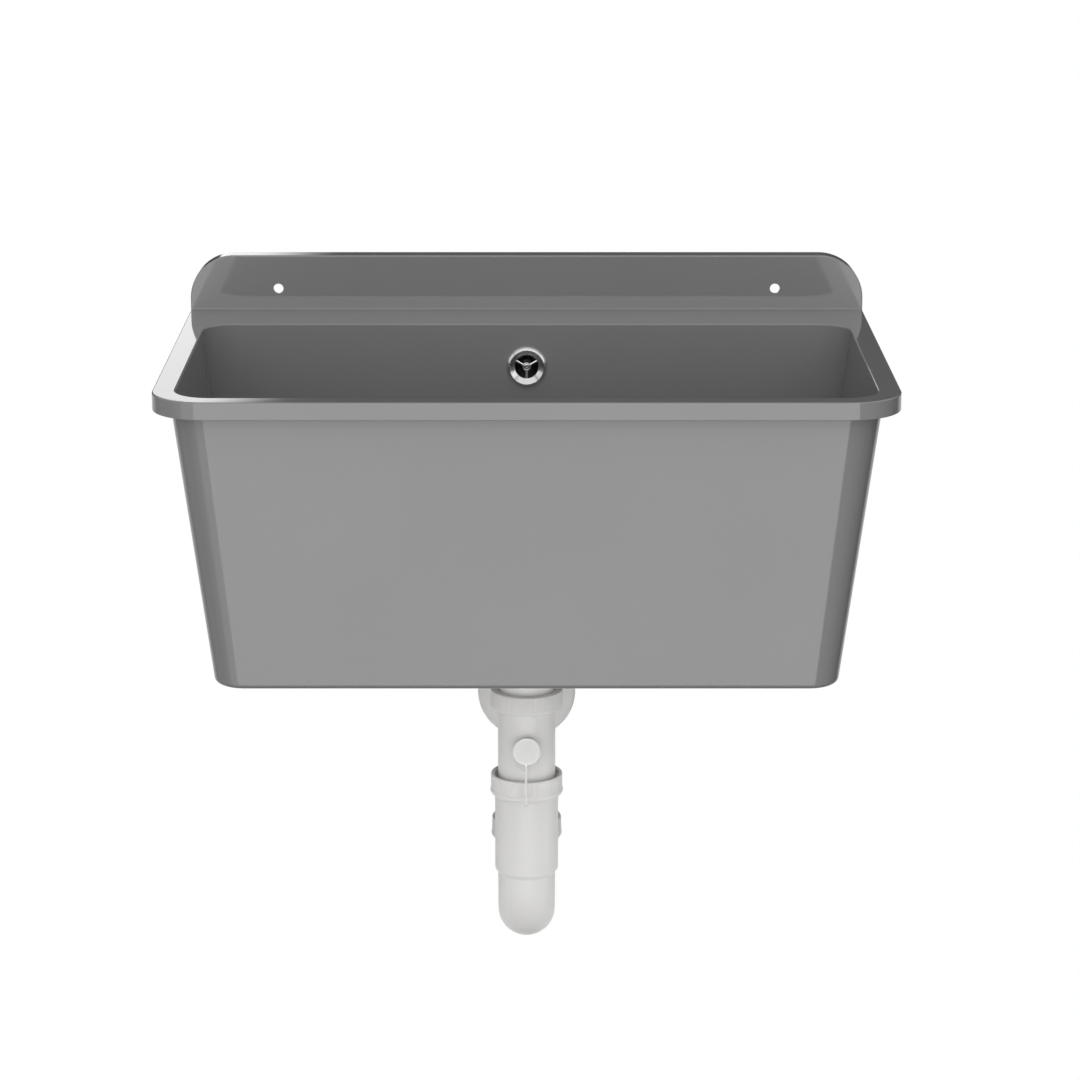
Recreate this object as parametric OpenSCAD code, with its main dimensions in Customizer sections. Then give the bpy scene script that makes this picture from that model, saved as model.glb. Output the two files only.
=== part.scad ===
// Wall-hung mop service sink: one moulded basin with a raised back, a
// sieve waste, a spoked overflow with its hose, and a plastic tube trap
// that leaves through the wall.
//
// Frame: +X to the right, +Y into the wall, +Z up. y = 0 is the wall
// plane, and the origin is midway between the two wall screw holes.
// Heights inside the modules are counted from the flat rim (z = 0 there);
// place() lowers everything so that the screw holes are at z = 0.

/* [Basin] */
// Overall width of the rim and of the raised back
sink_w = 600; // [560:5:640]
// Overall depth from the wall to the front of the rim
sink_d = 400; // [390:1:410]
// Height of the bowl from its underside to the rim
bowl_h = 250; // [240:1:260]
// Height of the raised back above the rim
splash_h = 49; // [44:1:60]
// How far the front of the raised back stands off the wall
splash_d = 17; // [14:1:20]
// Corner radius of the raised back, seen from the front
splash_r = 39; // [30:1:42]
// Corner radius of the rim, seen from above
rim_r = 46; // [38:1:50]
// Height of the turned-down lip of the rim
lip_h = 14.6; // [12:0.2:18]
// Thickness of rim, lip and raised back
skin = 3; // [2.5:0.1:4]
// Width of the bowl's opening
open_w = 563; // [540:1:566]
// Depth of the bowl's opening
open_d = 300; // [292:1:302]
// Width of the rim in front of the opening
front_rim = 18; // [16:0.5:22]
// Corner radius of the opening
open_r = 30; // [26:1:34]
// Thickness of the bowl's walls
wall = 5; // [4:0.5:6]
// Thickness of the bowl's floor
floor_t = 4.5; // [4:0.5:6]
// Slope of the bowl's front and side walls, in degrees
draft_side = 6.8; // [5:0.1:7.5]
// Slope of the bowl's back wall, in degrees
draft_back = 2; // [1:0.5:4]

// Distance between the stiffening ribs behind the raised back
rib_pitch = 130; // [100:5:160]

/* [Wall screws] */
// Distance between the two screw holes
screw_pitch = 443; // [400:1:480]
// Diameter of the screw holes
screw_hole_d = 8.8; // [7:0.1:10]
// Height of the screw holes above the rim
screw_up = 19; // [17:1:24]

/* [Waste] */
// Distance of the drain from the wall
drain_out = 222; // [216:1:232]
// Outside diameter of the waste's threaded outlet
outlet_thread_d = 47.8; // [47.4:0.1:48]
// Height of the overflow below the rim
overflow_down = 38; // [36:1:44]
// Outside diameter of the overflow ring
overflow_d = 34; // [32:0.5:36]

/* [Trap] */
// Outside diameter of the trap's tubes
tube_d = 49.4; // [49:0.1:50]
// Outside diameter of the pipe that enters the wall
wall_pipe_d = 50; // [49.6:0.1:50.2]
// Depth of the union nut's top below the rim
union_top = 290.3; // [288:0.1:293]
// Depth of the front nut's top below the rim
front_nut_top = 366; // [362:0.5:372]
// Depth of the rear nut's top below the rim
rear_nut_top = 436.3; // [434:0.1:438]
// Radius of the trap's return bend, along its middle
bend_r = 44; // [43:0.5:46]
// Depth of the return bend's centre below the rim
bend_z = 459.5; // [459:0.5:462]
// Depth of the wall pipe's centre below the rim
pipe_z = 360; // [356:1:364]
// How far the wall pipe runs into the wall
pipe_in = 45; // [30:1:60]
// Rise of the appliance nozzle above the horizontal, in degrees
nozzle_rise = 36; // [32:1:40]

/* [Hidden] */
$fn = 96;

front_y = -sink_d;                       // front of the rim
open_f = front_y + front_rim;            // front edge of the opening
open_b = open_f + open_d;                // back edge of the opening
drain_y = -drain_out;
side_in = bowl_h * tan(draft_side);      // how far the sides come in
back_in = bowl_h * tan(draft_back);      // how far the back comes in
rear_y = drain_y + 2 * bend_r;           // axis of the rear leg
tube_r = tube_d / 2;
tube_t = 2.3;                            // wall of the trap's tubes
seat_z = -bowl_h - 1.5;                  // floor of the drain recess
nut_r = 30.8;                            // flank of the trap's nuts
nozzle_l = 45.9;                         // tube axis to the cap's face
nozzle_r = 9.5;
cap_r = 11.7;                            // cap's disc
hose_ro = 12.5;
hose_ri = 11;

module place() { translate([0, 0, -screw_up]) children(); }
module at_drain() { translate([0, drain_y, 0]) children(); }
module at_rear() { translate([0, rear_y, 0]) children(); }

// ring with a rectangular section, from z0 up to z1
module ring(ri, ro, z0, z1) {
    translate([0, 0, z0]) difference() {
        cylinder(r = ro, h = z1 - z0);
        translate([0, 0, -1]) cylinder(r = ri, h = z1 - z0 + 2);
    }
}

// rim seen from above, taken in by e: round corners in front, square at
// the wall
module rim_plan(e = 0) {
    w = sink_w / 2 - e;
    r = rim_r - e;
    union() {
        translate([-w, front_y + rim_r]) square([2 * w, sink_d - rim_r - e]);
        translate([-w + r, front_y + e]) square([2 * (w - r), rim_r]);
        for (s = [-1, 1]) translate([s * (w - r), front_y + rim_r]) circle(r = r);
    }
}

// raised back seen from the front, taken in by e; x and height
module splash_plan(e = 0) {
    w = sink_w / 2 - e;
    r = splash_r - e;
    c = splash_h - splash_r;
    union() {
        translate([-w, -skin]) square([2 * w, c + skin]);
        translate([-w + r, -skin]) square([2 * (w - r), splash_h - e + skin]);
        for (s = [-1, 1]) intersection() {
            translate([s * (w - r), c]) circle(r = r);
            translate([s * (w - r) - r, c - 1]) square([2 * r, r + 2]);
        }
    }
}

// stands a front view up: x stays, height becomes z, thickness runs in y
module upright(y0, t) {
    translate([0, y0 + t, 0]) rotate([90, 0, 0]) linear_extrude(t) children();
}

// tapered tub with rounded corners: r at the top and b at the bottom, in
// by e all round, floor at zb with an edge radius q
module tub(e, rt, rb, zt, zb, q) {
    hull() {
        for (sx = [-1, 1], fy = [0, 1]) {
            xt = open_w / 2 - e;
            yf = open_f + e;
            yb = open_b - e;
            k = -zb / bowl_h;
            // top ring
            translate([sx * (xt - rt), fy == 0 ? yf + rt : yb - rt, zt])
                cylinder(r = rt, h = 0.02, $fn = 32);
            // rounded bottom edge in three steps
            for (a = [0, 30, 60, 90]) {
                i = q * (1 - cos(a));
                translate([sx * (xt - k * side_in - rb),
                           fy == 0 ? yf + k * side_in + rb : yb - k * back_in - rb,
                           zb + q * (1 - sin(a))])
                    cylinder(r = rb - i, h = 0.02, $fn = 32);
            }
        }
    }
}

module at_overflow() {
    translate([0, open_b - overflow_down * tan(draft_back) - 0.1, -overflow_down])
        rotate([-draft_back, 0, 0]) rotate([-90, 0, 0]) children();
}

module basin() color([0.47, 0.46, 0.47]) place() {
    difference() {
        union() {
            // flat rim
            translate([0, 0, -skin]) linear_extrude(skin) rim_plan();
            // turned-down lip all round, flat against the wall behind
            translate([0, 0, -lip_h]) linear_extrude(lip_h) difference() {
                rim_plan();
                rim_plan(skin);
            }
            // raised back: front panel and the edge returned to the wall
            upright(-splash_d, skin) splash_plan();
            upright(-splash_d, splash_d) difference() {
                splash_plan();
                splash_plan(skin);
            }
            // stiffening ribs behind the panel, flush with the wall
            for (x = [-rib_pitch, 0, rib_pitch])
                translate([x - 1.5, -splash_d + skin - 0.5, -1])
                    cube([3, splash_d - skin + 0.5, splash_h - skin + 1.5]);
            // bowl
            tub(-wall, open_r + 4, open_r, -skin, -bowl_h, 5);
            // thick round the drain
            at_drain() translate([0, 0, seat_z - 4.5]) cylinder(r = 47, h = 8);
        }
        tub(0, open_r, open_r - 4, 0.2, -bowl_h + floor_t, 6);
        // recess and hole for the waste
        at_drain() {
            translate([0, 0, seat_z]) cylinder(r1 = 40, r2 = 43, h = 6.01);
            translate([0, 0, seat_z - 10]) cylinder(r = 30.5, h = 20);
        }
        // hole for the overflow, square to the back wall
        at_overflow() translate([0, 0, -4]) cylinder(r = 13.6, h = 16);
        // wall screw holes
        for (s = [-1, 1]) translate([s * screw_pitch / 2, -splash_d - 1, screw_up])
            rotate([-90, 0, 0]) cylinder(d = screw_hole_d, h = skin + 2);
    }
}

module waste_seal_upper() color([0.12, 0.12, 0.12]) place() at_drain()
    ring(31.2, 38, seat_z, seat_z + 2);

// pressed sieve plate: flat flange and a shallow perforated dish
module waste_strainer() color([0.78, 0.78, 0.79]) place() at_drain() {
    f = seat_z + 2;
    difference() {
        union() {
            ring(29, 38.5, f, f + 1.2);
            ring(28.5, 29.7, f - 6, f + 1.2);
            translate([0, 0, f - 6]) cylinder(r = 29.7, h = 1.2);
        }
        translate([0, 0, f - 8]) cylinder(r = 3.2, h = 12);
        for (k = [1, 2, 3], i = [0 : 6 * k + 5])
            rotate([0, 0, i * 360 / (6 * k + 6)])
                translate([3 + 7 * k, 0, f - 8]) cylinder(r = 2, h = 6);
    }
}

module waste_screw() color([0.75, 0.75, 0.76]) place() at_drain() {
    f = seat_z - 2.8;
    difference() {
        union() {
            translate([0, 0, f]) cylinder(r = 6, h = 1.2);
            translate([0, 0, f + 1.2]) cylinder(r1 = 6, r2 = 4.6, h = 1.4);
            translate([0, 0, f - 19]) cylinder(r = 3, h = 19.5);
        }
        translate([-7, -0.6, f + 1.4]) cube([14, 1.2, 2]);
    }
}

module waste_seal_lower() color([0.12, 0.12, 0.12]) place() at_drain()
    ring(31.2, 40, seat_z - 7, seat_z - 4.5);

// cup under the bowl with a web for the screw, the overflow inlet and
// the threaded outlet
module waste_body() color([0.86, 0.86, 0.85]) place() at_drain() {
    t = seat_z - 7;
    difference() {
        union() {
            translate([0, 0, t - 3.5]) cylinder(r = 41, h = 3.5);
            translate([0, 0, -279]) cylinder(r = 32, h = t + 279);
            translate([0, 0, -301]) cylinder(d = outlet_thread_d, h = 30);
            // overflow inlet with a barb
            translate([0, 30, hose_end]) rotate([-90, 0, 0]) {
                cylinder(r = 9.8, h = 32);
                translate([0, 0, 26]) cylinder(r1 = 10.5, r2 = 9.8, h = 6);
            }
        }
        translate([0, 0, -275]) cylinder(r = 29.5, h = 30);
        translate([0, 0, -310]) cylinder(r = 20, h = 40);
        translate([0, 25, hose_end]) rotate([-90, 0, 0]) cylinder(r = 7.6, h = 40);
    }
    // web and boss of the centre screw
    difference() {
        union() {
            for (a = [30, 150, 270]) rotate([0, 0, a])
                translate([0, -1.5, -277]) cube([29.7, 3, 10]);
            translate([0, 0, -277]) cylinder(r = 6, h = 20);
        }
        translate([0, 0, -274.5]) cylinder(r = 3.05, h = 20);
    }
}

// the overflow is modelled along +Z, which at_overflow() turns into the
// back wall; z = 0 is the bowl's inner face
module overflow_ring() color([0.8, 0.8, 0.82]) place() at_overflow() {
    ro = overflow_d / 2;
    rotate_extrude() polygon([[ro, 0], [ro, -0.7], [ro - 0.7, -2.4],
        [ro - 1.6, -4.2], [ro - 2.2, -4.2], [ro - 6.6, -0.6], [10, 0.2],
        [10, 4], [13.2, 4], [13.2, 0]]);
    for (a = [90, 210, 330]) rotate([0, 0, a])
        translate([3.1, -1, -0.2]) cube([7.4, 2, 1.8]);
    // hub with a seat for the screw's head
    ring(2.6, 3.7, -0.6, 1);
    ring(1.85, 3.7, 1, 2.6);
}

module overflow_screw() color([0.75, 0.75, 0.77]) place() at_overflow() {
    difference() {
        union() {
            translate([0, 0, -0.5]) cylinder(r = 2.45, h = 1.4);
            translate([0, 0, 0.5]) cylinder(r = 1.75, h = 25.1);
        }
        for (a = [0, 90]) rotate([0, 0, a])
            translate([-1.5, -0.3, -1.5]) cube([3, 0.6, 1.7]);
    }
}

module overflow_seal() color([0.12, 0.12, 0.12]) place() at_overflow()
    ring(14.2, 18.5, 5.25, 7.6);

// cup behind the back wall that turns the overflow down into the hose
module overflow_elbow() color([0.86, 0.86, 0.85]) place() {
    difference() {
        union() {
            at_overflow() translate([0, 0, 7.6]) {
                cylinder(r = 19, h = 3);
                cylinder(r = 15, h = 27);
            }
            translate([0, hose_y, -74]) {
                cylinder(r = 10, h = 35);
                cylinder(r1 = 10, r2 = 10.5, h = 6);
            }
        }
        at_overflow() cylinder(r = 12.8, h = 32.6);
        translate([0, hose_y, -80]) cylinder(r = 8, h = 41);
    }
    at_overflow() difference() {
        translate([0, 0, 9]) cylinder(r = 4.6, h = 24.4);
        translate([0, 0, 8]) cylinder(r = 1.85, h = 19.6);
    }
}

// middle line of the overflow hose, as [y, z] from the rim
hose_y = -60;
hose_down = -230;
hose_end = -269;
hose_turn = 38;
hose_path = concat(
    [for (i = [0 : 7]) [hose_y, -58 + i * (hose_down + 58) / 7.6]],
    [for (a = [0 : 11.25 : 90]) [hose_y - hose_turn * (1 - cos(a)),
                                 hose_down - hose_turn * sin(a)]],
    [for (y = [-110, -128, -146, -174]) [y, hose_end]]);

function dir(p, i) = let(a = p[max(i - 1, 0)], b = p[min(i + 1, len(p) - 1)],
                         d = b - a) d / norm(d);
// one ring of n points round path point i; the ring lies across the path
function hoop(p, i, r, n) = let(t = dir(p, i), m = [-t[1], t[0]])
    [for (k = [0 : n - 1]) let(a = 360 * (k + 0.5) / n)
        [r * sin(a), p[i][0] + r * cos(a) * m[0], p[i][1] + r * cos(a) * m[1]]];

module pipe_sweep(p, ro, ri, n) {
    m = len(p);
    pts = concat([for (i = [0 : m - 1]) each hoop(p, i, ro, n)],
                 [for (i = [0 : m - 1]) each hoop(p, i, ri, n)]);
    o = m * n;
    faces = concat(
        [for (i = [0 : m - 2], k = [0 : n - 1])
            let(a = i * n + k, b = i * n + (k + 1) % n) [a, b, b + n, a + n]],
        [for (i = [0 : m - 2], k = [0 : n - 1])
            let(a = o + i * n + k, b = o + i * n + (k + 1) % n) [b, a, a + n, b + n]],
        [for (k = [0 : n - 1]) let(l = (k + 1) % n) [l, k, o + k, o + l]],
        [for (k = [0 : n - 1]) let(l = (k + 1) % n, e = (m - 1) * n)
            [e + k, e + l, o + e + l, o + e + k]]);
    polyhedron(points = pts, faces = faces, convexity = 6);
}

module overflow_hose() color([0.8, 0.8, 0.79]) place()
    pipe_sweep(hose_path, hose_ro, hose_ri, 12);

// one hose clip: band with a screw housing, band axis along +Z
module clip() {
    ring(12.7, 13.5, -4, 4);
    translate([-4, 13.2, -4.5]) cube([8, 4.5, 9]);
    translate([-7, 15.5, 0]) rotate([0, 90, 0]) cylinder(r = 2.8, h = 3.2);
}

module hose_clips() color([0.72, 0.72, 0.74]) place() {
    translate([0, hose_y, -66]) clip();
    translate([0, -166, hose_end]) rotate([-90, 0, 0]) clip();
}

module union_nut() color([0.86, 0.86, 0.85]) place() at_drain()
    translate([0, 0, -union_top]) rotate_extrude() polygon([
        [24.2, 0], [30.5, 0], [30.95, -0.5], [30.95, -14.4], [30.5, -15.3],
        [26.6, -16.9], [21.3, -17.2], [21.3, -15.6], [24.2, -15.6]]);

module union_seal() color([0.12, 0.12, 0.12]) place() at_drain()
    ring(18.5, 23.6, -303.5, -301.1);

// tube with the appliance nozzle: collar and neck inside the union nut
module inlet_tube() color([0.86, 0.86, 0.85]) place() at_drain() {
    difference() {
        union() {
            translate([0, 0, -305.7]) cylinder(r = 23.8, h = 2.1);
            translate([0, 0, -308.5]) cylinder(r = 21, h = 4);
            translate([0, 0, -308.9]) cylinder(r1 = tube_r, r2 = tube_r - 1, h = 1.1);
            translate([0, 0, -430]) cylinder(r = tube_r, h = 121.2);
            translate([0, 0, -362]) rotate([90 - nozzle_rise, 0, 0])
                cylinder(r = nozzle_r, h = nozzle_l - 3);
        }
        translate([0, 0, -300]) rotate([180, 0, 0]) cylinder(r = 18.5, h = 15);
        translate([0, 0, -431]) cylinder(r = tube_r - tube_t, h = 117.5);
        translate([0, 0, -362]) rotate([90 - nozzle_rise, 0, 0])
            cylinder(r = 7.5, h = 60);
    }
}

// push-in cap of the nozzle, moulded with its hanging strap
module branch_cap() color([0.9, 0.9, 0.89]) place() at_drain() {
    translate([0, 0, -362]) rotate([90 - nozzle_rise, 0, 0]) {
        translate([0, 0, nozzle_l - 3]) cylinder(r = cap_r, h = 2.2);
        translate([0, 0, nozzle_l - 0.81]) cylinder(r1 = cap_r, r2 = cap_r - 0.7, h = 0.8);
        translate([0, 0, nozzle_l - 13]) cylinder(r = 7.3, h = 10.5);
    }
    // strap and its end bead
    y = -nozzle_l * cos(nozzle_rise) - cap_r * sin(nozzle_rise) + 1.2;
    translate([-1.5, y - 0.6, -382]) cube([2, 1.3, 38]);
    translate([-0.5, y, -383]) sphere(r = 1.7);
}

// nut of the telescopic joints; z = 0 is its top
module slip_nut() rotate_extrude() polygon([
    [27.9, 0], [30.2, 0], [nut_r, -0.7], [nut_r, -13.2], [31.3, -14.2],
    [31.3, -16], [30.6, -17.2], [29.6, -18], [28.5, -18], [28.5, -6.2],
    [25.1, -6.2], [25.1, -3.6], [27.9, -3.6]]);

module front_nut() color([0.86, 0.86, 0.85]) place() at_drain()
    translate([0, 0, -front_nut_top]) slip_nut();
module rear_nut() color([0.86, 0.86, 0.85]) place() at_rear()
    translate([0, 0, -rear_nut_top]) slip_nut();

// soft ring between nut and socket
module slip_seal() rotate_extrude() polygon([
    [25, -6.4], [28, -6.4], [28, -7.6], [26.6, -9], [25, -9]]);
module front_seal() color([0.2, 0.2, 0.2]) place() at_drain()
    translate([0, 0, -front_nut_top]) slip_seal();
module rear_seal() color([0.2, 0.2, 0.2]) place() at_rear()
    translate([0, 0, -rear_nut_top]) slip_seal();

// outside of a socket under a slip nut whose top is at zn: threaded mouth
// down to the plain part of radius ro, which ends at zb
module mouth(zn, zb, ro, shoulder) rotate_extrude() polygon(concat(
    [[0, zn - 9.1], [28.2, zn - 9.1], [28.2, zn - 20], [ro, zn - 21]],
    shoulder ? [[ro, zb + 7], [ro - 0.3, zb + 5.4], [ro - 1, zb + 4.3],
                [ro - 2.1, zb + 3.6], [tube_r, zb + 3.4]] : [],
    [[tube_r, zb], [0, zb]]));

// bore of the sockets: sliding fit, lead-in under the seal, then the tube's
module socket_bore(zn, zb) {
    translate([0, 0, zb]) cylinder(r = 25, h = zn - 8 - zb);
    translate([0, 0, zn - 10.6]) cylinder(r1 = 25, r2 = 26.8, h = 1.51);
    translate([0, 0, -bend_z - 1]) cylinder(r = tube_r - tube_t, h = 20);
}

// return bend: long front socket, two quarter turns and short rear socket,
// each a plain tube of its own that meets the next on a flat face
module front_socket() color([0.86, 0.86, 0.85]) place() at_drain() difference() {
    mouth(-front_nut_top, -bend_z, 27.3, true);
    socket_bore(-front_nut_top, -452);
}
module front_turn() color([0.86, 0.86, 0.85]) place()
    translate([0, drain_y + bend_r, -bend_z]) rotate([0, 90, 0])
        rotate([0, 0, -90]) rotate_extrude(angle = 90)
            translate([bend_r, 0]) pipe_section();
module rear_turn() color([0.86, 0.86, 0.85]) place()
    translate([0, drain_y + bend_r, -bend_z]) rotate([0, 90, 0])
        rotate_extrude(angle = 90) translate([bend_r, 0]) pipe_section();
module rear_socket() color([0.86, 0.86, 0.85]) place() at_rear() difference() {
    mouth(-rear_nut_top, -bend_z, tube_r, false);
    socket_bore(-rear_nut_top, -451);
}

module pipe_section() difference() {
    circle(r = tube_r);
    circle(r = tube_r - tube_t);
}

// outlet: leg in the rear socket, quarter turn and the pipe into the wall;
// beyond the wall plane the pipe is a little stouter, chamfered at its end
elbow_r = 40;
module outlet_leg() color([0.86, 0.86, 0.85]) place() at_rear()
    ring(tube_r - tube_t, tube_r, -450, -pipe_z - elbow_r);
module outlet_elbow() color([0.86, 0.86, 0.85]) place()
    translate([0, rear_y + elbow_r, -pipe_z - elbow_r]) rotate([0, 90, 0])
        rotate([0, 0, 180]) rotate_extrude(angle = 90)
            translate([elbow_r, 0]) pipe_section();
module wall_pipe() color([0.86, 0.86, 0.85]) place()
    translate([0, rear_y + elbow_r, -pipe_z]) rotate([-90, 0, 0]) difference() {
        union() {
            cylinder(r = tube_r, h = -rear_y - elbow_r);
            translate([0, 0, -rear_y - elbow_r - 1])
                cylinder(d = wall_pipe_d, h = pipe_in - 1);
            translate([0, 0, -rear_y - elbow_r + pipe_in - 2])
                cylinder(d1 = wall_pipe_d, d2 = wall_pipe_d - 2.4, h = 2);
        }
        translate([0, 0, -1])
            cylinder(r = tube_r - tube_t, h = -rear_y - elbow_r + pipe_in + 2);
    }

// round wall plate, hollow behind, with a short collar on the pipe
module wall_rosette() color([0.84, 0.84, 0.83]) place()
    translate([0, 0, -pipe_z]) rotate([90, 0, 0]) rotate_extrude() polygon([
        [44.8, 0], [44.8, 6.6], [44.2, 8.2], [42.6, 9], [29, 10.4],
        [27.6, 16], [25.3, 16], [25.3, 8.4], [42, 7], [42.9, 6], [42.9, 0]]);

basin();
waste_seal_upper();
waste_strainer();
waste_screw();
waste_seal_lower();
waste_body();
overflow_ring();
overflow_screw();
overflow_seal();
overflow_elbow();
overflow_hose();
hose_clips();
union_nut();
union_seal();
inlet_tube();
branch_cap();
front_nut();
front_seal();
front_socket();
front_turn();
rear_turn();
rear_socket();
rear_nut();
rear_seal();
outlet_leg();
outlet_elbow();
wall_pipe();
wall_rosette();
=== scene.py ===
import math
import bpy
import bmesh
import numpy as np
from mathutils import Vector, Matrix
from mathutils.geometry import delaunay_2d_cdt


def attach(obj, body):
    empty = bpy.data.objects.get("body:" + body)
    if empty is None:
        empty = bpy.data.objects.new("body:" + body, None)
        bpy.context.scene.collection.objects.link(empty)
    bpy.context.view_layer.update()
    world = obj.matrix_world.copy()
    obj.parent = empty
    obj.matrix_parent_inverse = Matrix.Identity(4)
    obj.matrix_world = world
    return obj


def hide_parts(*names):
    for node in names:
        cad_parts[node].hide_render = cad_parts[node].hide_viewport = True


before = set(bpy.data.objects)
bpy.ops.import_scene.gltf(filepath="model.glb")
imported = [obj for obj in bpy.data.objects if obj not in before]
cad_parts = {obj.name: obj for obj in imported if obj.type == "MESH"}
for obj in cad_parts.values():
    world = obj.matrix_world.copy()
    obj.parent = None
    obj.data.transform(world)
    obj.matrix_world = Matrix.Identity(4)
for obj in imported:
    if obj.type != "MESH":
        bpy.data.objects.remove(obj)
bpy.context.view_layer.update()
scene = bpy.context.scene

# ---------------------------------------------------------------- helpers
# Shapes are worked out in millimetres with z counted from the flat rim, as in
# the CAD source; put() turns them into metres in the row frame.
MM = 0.001
RIM = -19.0


def put(name, verts, faces, mat, body, slot, replaces=(), sharp=32.0, wn=True,
        weld=2e-6, recalc=True, parts=None):
    me = bpy.data.meshes.new(name)
    me.from_pydata([(v[0] * MM, v[1] * MM, (v[2] + RIM) * MM) for v in verts], [], faces)
    bm = bmesh.new()
    bm.from_mesh(me)
    bmesh.ops.remove_doubles(bm, verts=bm.verts, dist=weld)
    bmesh.ops.dissolve_degenerate(bm, edges=bm.edges, dist=weld * 0.5)
    if recalc:
        bmesh.ops.recalc_face_normals(bm, faces=bm.faces)
    bm.to_mesh(me)
    bm.free()
    o = bpy.data.objects.new(name, me)
    scene.collection.objects.link(o)
    finish_mesh(o, sharp, wn)
    if mat is not None:
        me.materials.append(mat)
    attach(o, body)
    if replaces:
        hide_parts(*replaces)
    return o


def finish_mesh(o, sharp, wn):
    me = o.data
    for p in me.polygons:
        p.use_smooth = True
    me.set_sharp_from_angle(angle=math.radians(sharp))
    if wn:
        m = o.modifiers.new("normals", "WEIGHTED_NORMAL")
        m.mode = "FACE_AREA"
        m.weight = 50
        m.keep_sharp = True


def fil(pts, closed=True, step=12.0):
    """Corner points (a, b, radius) to a polyline with rounded corners."""
    out = []
    n = len(pts)
    for i in range(n):
        a, b = pts[i][0], pts[i][1]
        r = pts[i][2] if len(pts[i]) > 2 else 0.0
        if r <= 0 or (not closed and i in (0, n - 1)):
            out.append((a, b))
            continue
        p = np.array(pts[i - 1][:2], float)
        q = np.array([a, b], float)
        s = np.array(pts[(i + 1) % n][:2], float)
        u = (p - q) / np.linalg.norm(p - q)
        v = (s - q) / np.linalg.norm(s - q)
        ang = math.acos(max(-1.0, min(1.0, float(u @ v))))
        if ang > math.pi - 1e-3:
            out.append((a, b))
            continue
        t = r / math.tan(ang / 2)
        lim = 0.49 * min(np.linalg.norm(p - q), np.linalg.norm(s - q))
        if t > lim:
            t = lim
            r = t * math.tan(ang / 2)
        c = q + (u + v) / np.linalg.norm(u + v) * (r / math.sin(ang / 2))
        p0, p1 = q + u * t, q + v * t
        a0 = math.atan2(*(p0 - c)[::-1])
        a1 = math.atan2(*(p1 - c)[::-1])
        d = (a1 - a0 + math.pi) % (2 * math.pi) - math.pi
        k = max(2, int(abs(math.degrees(d)) / step + 0.5))
        for j in range(k + 1):
            w = a0 + d * j / k
            out.append((c[0] + r * math.cos(w), c[1] + r * math.sin(w)))
    return out


def dense(profile, s0, s1, step, closed=True):
    """Adds points to the profile where the path bends between s0 and s1."""
    out = []
    n = len(profile)
    for i in range(n):
        a = profile[i]
        out.append(a)
        if i == n - 1 and not closed:
            break
        b = profile[(i + 1) % n]
        ds = b[0] - a[0]
        if abs(ds) < 1e-9:
            continue
        ts = set()
        k0 = int(math.floor((s1 - s0) / step))
        for k in range(k0 + 1):
            s = s0 + (s1 - s0) * k / max(1, k0)
            t = (s - a[0]) / ds
            if 1e-6 < t < 1 - 1e-6:
                ts.add(round(t, 9))
        for t in sorted(ts):
            out.append((a[0] + ds * t, a[1] + (b[1] - a[1]) * t))
    return out


def sweep(path, profile, n=96, mod=None, closed=True, phase=0.0):
    verts, faces = [], []
    m = len(profile)
    for s, r in profile:
        O, U, V = path(s)
        for k in range(n):
            th = 2 * math.pi * (k + phase) / n
            rr = r + (mod(th, s, r) if mod else 0.0)
            c, d = rr * math.cos(th), rr * math.sin(th)
            verts.append((O[0] + U[0] * c + V[0] * d,
                          O[1] + U[1] * c + V[1] * d,
                          O[2] + U[2] * c + V[2] * d))
    for j in range(m if closed else m - 1):
        j2 = (j + 1) % m
        for k in range(n):
            k2 = (k + 1) % n
            faces.append((j * n + k, j * n + k2, j2 * n + k2, j2 * n + k))
    return verts, faces


def join(*parts):
    verts, faces = [], []
    for v, f in parts:
        o = len(verts)
        verts += list(v)
        faces += [tuple(i + o for i in face) for face in f]
    return verts, faces


def axis_path(origin, direction, u=None):
    d = Vector(direction).normalized()
    U = Vector(u) if u is not None else d.orthogonal()
    U = (U - d * U.dot(d)).normalized()
    V = d.cross(U)
    o = Vector(origin)
    return lambda s: (o + d * s, U, V)


def zpath(y, x=0.0):
    return lambda s: ((x, y, s), (1, 0, 0), (0, 1, 0))


def modifier_boolean(o, cutter, op="DIFFERENCE"):
    m = o.modifiers.new("b", "BOOLEAN")
    m.operation = op
    m.solver = "EXACT"
    m.object = cutter
    bpy.context.view_layer.update()
    dg = bpy.context.evaluated_depsgraph_get()
    new = bpy.data.meshes.new_from_object(o.evaluated_get(dg), preserve_all_data_layers=False, depsgraph=dg)
    o.modifiers.remove(m)
    old = o.data
    o.data = new
    bpy.data.meshes.remove(old)
    bpy.data.objects.remove(cutter, do_unlink=True)


def raw(name, verts, faces):
    me = bpy.data.meshes.new(name)
    me.from_pydata([(v[0] * MM, v[1] * MM, (v[2] + RIM) * MM) for v in verts], [], faces)
    bm = bmesh.new()
    bm.from_mesh(me)
    bmesh.ops.remove_doubles(bm, verts=bm.verts, dist=2e-6)
    bmesh.ops.recalc_face_normals(bm, faces=bm.faces)
    bm.to_mesh(me)
    bm.free()
    o = bpy.data.objects.new(name, me)
    scene.collection.objects.link(o)
    return o


def solid_union(name, shells, mat, body, replaces=(), cut=(), sharp=32.0):
    """One closed mesh from several closed shells; cut holds shells to take away."""
    base = raw(name, *shells[0])
    for i, s in enumerate(shells[1:]):
        modifier_boolean(base, raw("t%d" % i, *s), "UNION")
    for i, s in enumerate(cut):
        modifier_boolean(base, raw("c%d" % i, *s), "DIFFERENCE")
    bm = bmesh.new()
    bm.from_mesh(base.data)
    bmesh.ops.remove_doubles(bm, verts=bm.verts, dist=2e-6)
    bm.to_mesh(base.data)
    bm.free()
    finish_mesh(base, sharp, True)
    base.data.materials.clear()
    base.data.materials.append(mat)
    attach(base, body)
    if replaces:
        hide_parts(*replaces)
    return base


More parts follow.
